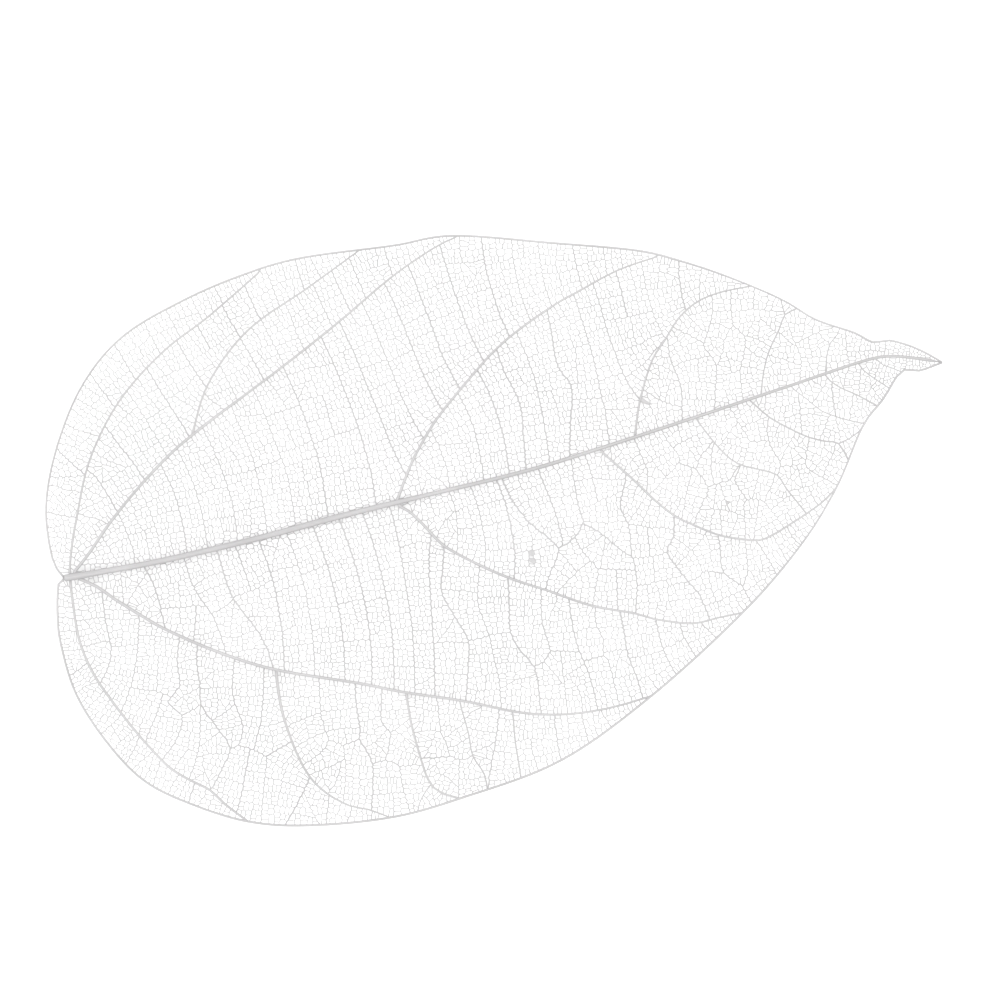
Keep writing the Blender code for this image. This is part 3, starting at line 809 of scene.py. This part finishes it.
# One piece for a family of veins: each is a tapered thread of the given radii along its route
def threads(name, family):
    fibres = bundle["fibres"].get(name, 0)
    curve = bpy.data.curves.new(name, "CURVE")
    curve.dimensions = "3D"
    curve.use_fill_caps = True
    if fibres:
        curve.bevel_mode = "OBJECT"
        curve.bevel_object = bundleProfile(fibres)
    else:
        curve.bevel_depth = 1
        curve.bevel_resolution = bundle["roundness"].get(name, 0)
    for route, radii in family:
        spline = curve.splines.new("POLY")
        spline.points.add(len(route) - 1)
        wander = 0
        for target, at, radius in zip(spline.points, route, radii):
            wander += draw.gauss(0, bundle["wander"])
            target.co = (*at, 1)
            target.radius = radius * (1 + draw.gauss(0, bundle["unevenness"]) if fibres else 1)
            target.tilt = wander if fibres else 0
    piece = addObject(name, curve)
    curveToMesh(piece)
    if fibres:
        bpy.data.objects.remove(curve.bevel_object)
    cleanMesh()
    bpy.ops.object.shade_smooth()
    print(name, "made:", len(family), "threads,", len(piece.data.polygons), "faces")
    return piece


# A vein's route over the leaf, resting on the net's height or on its own underside, and its radii
def veinThread(vein):
    route, radii = [], []
    last = len(vein["chain"]) - 1
    for k, index in enumerate(vein["chain"]):
        x, y = settled[index]
        width = vein["width"] + (vein["endWidth"] - vein["width"]) * k / last
        if vein["piece"] == "marginVein":
            for low, high, thinner in leaf["marginThins"]:
                within = min(max((x / leaf["length"] - low) / (high - low), 0), 1)
                width *= 1 - thinner * math.sin(math.pi * within)
        if vein["piece"] == "mainVeins" and k < len(bundle["rootShares"]):
            width *= bundle["rootShares"][k]
        if vein["piece"] == "midrib":
            width = float(np.interp(k / last, *zip(*bundle["midribWidths"])))
        route.append(onLeaf(x, y, max(curl["netHeight"], width / 2 + curl["veinHeight"])))
        radii.append(width / 2)
    return route, radii


families = {
    "fineNetUpper": [], "fineNetLower": [], "veinlets": [], "rungs": [], "marginVein": [],
    "mainVeins": [], "midrib": [],
}
for vein in veins:
    name = vein["piece"]
    if name == "fineNet":
        middle = vein["chain"][len(vein["chain"]) // 2]
        name += "Upper" if settled[middle][1] > 0 else "Lower"
    families[name].append(veinThread(vein))
for root, end in freeEnds:
    route = [onLeaf(*place, curl["netHeight"]) for place in (root, end)]
    families["veinlets"].append((route, [veinlets["width"] / 2, veinlets["endWidth"] / 2]))
pieces = {name: threads(name, family) for name, family in families.items()}

# A few flecks of leaf tissue left in the net: thin films in the cells at these pixels, each on the
# given share of its cell's corners
flecks = {
    "films": [
        ((776.9, 628.3), 1), ((778.6, 632.4), 0.8), ((835.9, 549.4), 0.6), ((877.6, 603.3), 0.5),
    ],
    "fewestCorners": 3,
    "thickness": 0.00002,
}
film = bpy.data.curves.new("tissueFlecks", "CURVE")
film.dimensions = "2D"
film.fill_mode = "BOTH"
film.extrude = flecks["thickness"] / 2
for pixel, share in flecks["films"]:
    at = leafPlace(pixel)
    ring = next(r for r in cells.values() if insideRing(at, [Vector(settled[p]) for p in r]))
    corners = ring[:max(flecks["fewestCorners"], round(len(ring) * share))]
    spline = film.splines.new("POLY")
    spline.points.add(len(corners) - 1)
    spline.use_cyclic_u = True
    for target, index in zip(spline.points, corners):
        target.co = (*settled[index], 0, 1)
tissue = addObject("tissueFlecks", film)
curveToMesh(tissue)
for vertex in tissue.data.vertices:
    x, y, z = vertex.co
    vertex.co = onLeaf(x, y, curl["netHeight"] + z)
cleanMesh()
pieces["tissueFlecks"] = tissue
print("tissueFlecks made:", len(flecks["films"]), "films")

# Bleached fibre: matt grey, a little uneven over the leaf, with fine streaks along each thread
fibre = {
    # The greys step from the darkest midrib to the lightest net. Beyond the fibre's own grey, the
    # midrib's darker grey is painted shade on the thick vein, and the net's lighter grey is painted
    # light showing through the thin fibre
    "tonesAndShade": {"midrib": (0.38, 0.48), "veins": (0.40, 0.50), "net": (0.43, 0.53),
              "tissue": (0.4, 0.5)},         # darkest, lightest
    "tint": (1.009, 0.994, 1.004),
    "stops": (0.36, 0.62),       # of the noise, where a thread is darkest and lightest
    "patchScale": 160,
    "patchDetail": 5,
    "streakScale": (9, 40, 1),   # along and round a thread
    "streakDetail": 3,
    "streakShare": 0.45,         # of the tone, against the patches
    "specular": 0.25,
    "roughness": (0.55, 0.8),
    "bump": 0.00003,
    "bumpStrength": 0.6,
}
wears = {
    "midrib": "midrib", "mainVeins": "veins", "marginVein": "veins", "rungs": "veins",
    "fineNetUpper": "net", "fineNetLower": "net", "veinlets": "net", "tissueFlecks": "tissue",
}


def fibreMaterial(name, tone):
    material = bpy.data.materials.new(name)
    material.use_nodes = True
    nodes, links = material.node_tree.nodes, material.node_tree.links
    shader = nodes["Principled BSDF"]
    shader.inputs["Specular IOR Level"].default_value = fibre["specular"]
    where = nodes.new("ShaderNodeTexCoord")
    patches = nodes.new("ShaderNodeTexNoise")
    patches.inputs["Scale"].default_value = fibre["patchScale"]
    patches.inputs["Detail"].default_value = fibre["patchDetail"]
    stretch = nodes.new("ShaderNodeMapping")
    stretch.inputs["Scale"].default_value = fibre["streakScale"]
    streaks = nodes.new("ShaderNodeTexNoise")
    streaks.inputs["Scale"].default_value = 1
    streaks.inputs["Detail"].default_value = fibre["streakDetail"]
    blend = nodes.new("ShaderNodeMix")
    blend.inputs["Factor"].default_value = fibre["streakShare"]
    shade = nodes.new("ShaderNodeValToRGB")
    # Each ramp holds its part's grey, with the painted shade of the midrib or the painted light of
    # the net
    for element, position, grey in zip(shade.color_ramp.elements, fibre["stops"], tone):
        element.position = position
        element.color = (*(grey * share for share in fibre["tint"]), 1)
    matt = nodes.new("ShaderNodeMapRange")
    matt.inputs["To Min"].default_value, matt.inputs["To Max"].default_value = fibre["roughness"]
    relief = nodes.new("ShaderNodeBump")
    relief.inputs["Distance"].default_value = fibre["bump"]
    relief.inputs["Strength"].default_value = fibre["bumpStrength"]
    links.new(where.outputs["Object"], patches.inputs["Vector"])
    links.new(where.outputs["UV"], stretch.inputs["Vector"])
    links.new(stretch.outputs["Vector"], streaks.inputs["Vector"])
    links.new(patches.outputs["Fac"], blend.inputs["A"])
    links.new(streaks.outputs["Fac"], blend.inputs["B"])
    links.new(blend.outputs["Result"], shade.inputs["Fac"])
    links.new(shade.outputs["Color"], shader.inputs["Base Color"])
    links.new(patches.outputs["Fac"], matt.inputs["Value"])
    links.new(matt.outputs["Result"], shader.inputs["Roughness"])
    links.new(streaks.outputs["Fac"], relief.inputs["Height"])
    links.new(relief.outputs["Normal"], shader.inputs["Normal"])
    return material


materials = {part: fibreMaterial(part + "Fibre", tone) for part, tone in fibre["tonesAndShade"].items()}
for name, piece in pieces.items():
    piece.data.materials.clear()
    piece.data.materials.append(materials[wears[name]])
    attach(piece, "root")
    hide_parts("skeleton_leaf")
print("materials made:", len(materials))

# Floor, light and camera
stage = {
    "floorGrey": (0.93, 0.93, 0.93, 1),
    "floorRoughness": 0.9,
    "floorSide": 3.0,
    "roomColour": (1, 1, 1, 1),
    "roomStrength": 0.85,
    "lamps": {                   # place, side and power of each
        "overhead": ((0.0, 0.0, 0.9), 0.9, 7.5),
        "fromLeft": ((-0.7, 0.5, 0.6), 0.5, 1.6),
    },
    "turn": math.radians(13.8),  # of the camera, so that the leaf lies as in the photograph
    "shownWidth": 0.100,
    "lens": 200,
    "clip": (0.01, 10),
}
bpy.ops.mesh.primitive_plane_add(size=stage["floorSide"], location=(0, 0, cadLow.z))
floor = bpy.context.object
floor.name = "floor"
paper = bpy.data.materials.new("paleFloor")
paper.use_nodes = True
paperShader = paper.node_tree.nodes["Principled BSDF"]
paperShader.inputs["Base Color"].default_value = stage["floorGrey"]
paperShader.inputs["Roughness"].default_value = stage["floorRoughness"]
floor.data.materials.append(paper)

for name, (at, size, power) in stage["lamps"].items():
    bpy.ops.object.light_add(type="AREA", location=at)
    lamp = bpy.context.object
    lamp.name = name
    lamp.data.size = size
    lamp.data.energy = power
    lamp.rotation_euler = Vector(at).to_track_quat("Z", "Y").to_euler()

room = bpy.data.worlds.new("whiteRoom")
room.use_nodes = True
room.node_tree.nodes["Background"].inputs["Color"].default_value = stage["roomColour"]
room.node_tree.nodes["Background"].inputs["Strength"].default_value = stage["roomStrength"]
bpy.context.scene.world = room
bpy.context.scene.view_settings.view_transform = "Standard"

camera = addObject("camera", bpy.data.cameras.new("camera"))
camera.data.lens = stage["lens"]
distance = stage["shownWidth"] / 2 / (camera.data.sensor_width / 2 / stage["lens"])
camera.location = (0, 0, distance)
camera.rotation_euler = (0, 0, -stage["turn"])
camera.data.clip_start, camera.data.clip_end = stage["clip"]
bpy.context.scene.camera = camera
print("floor, light and camera set")
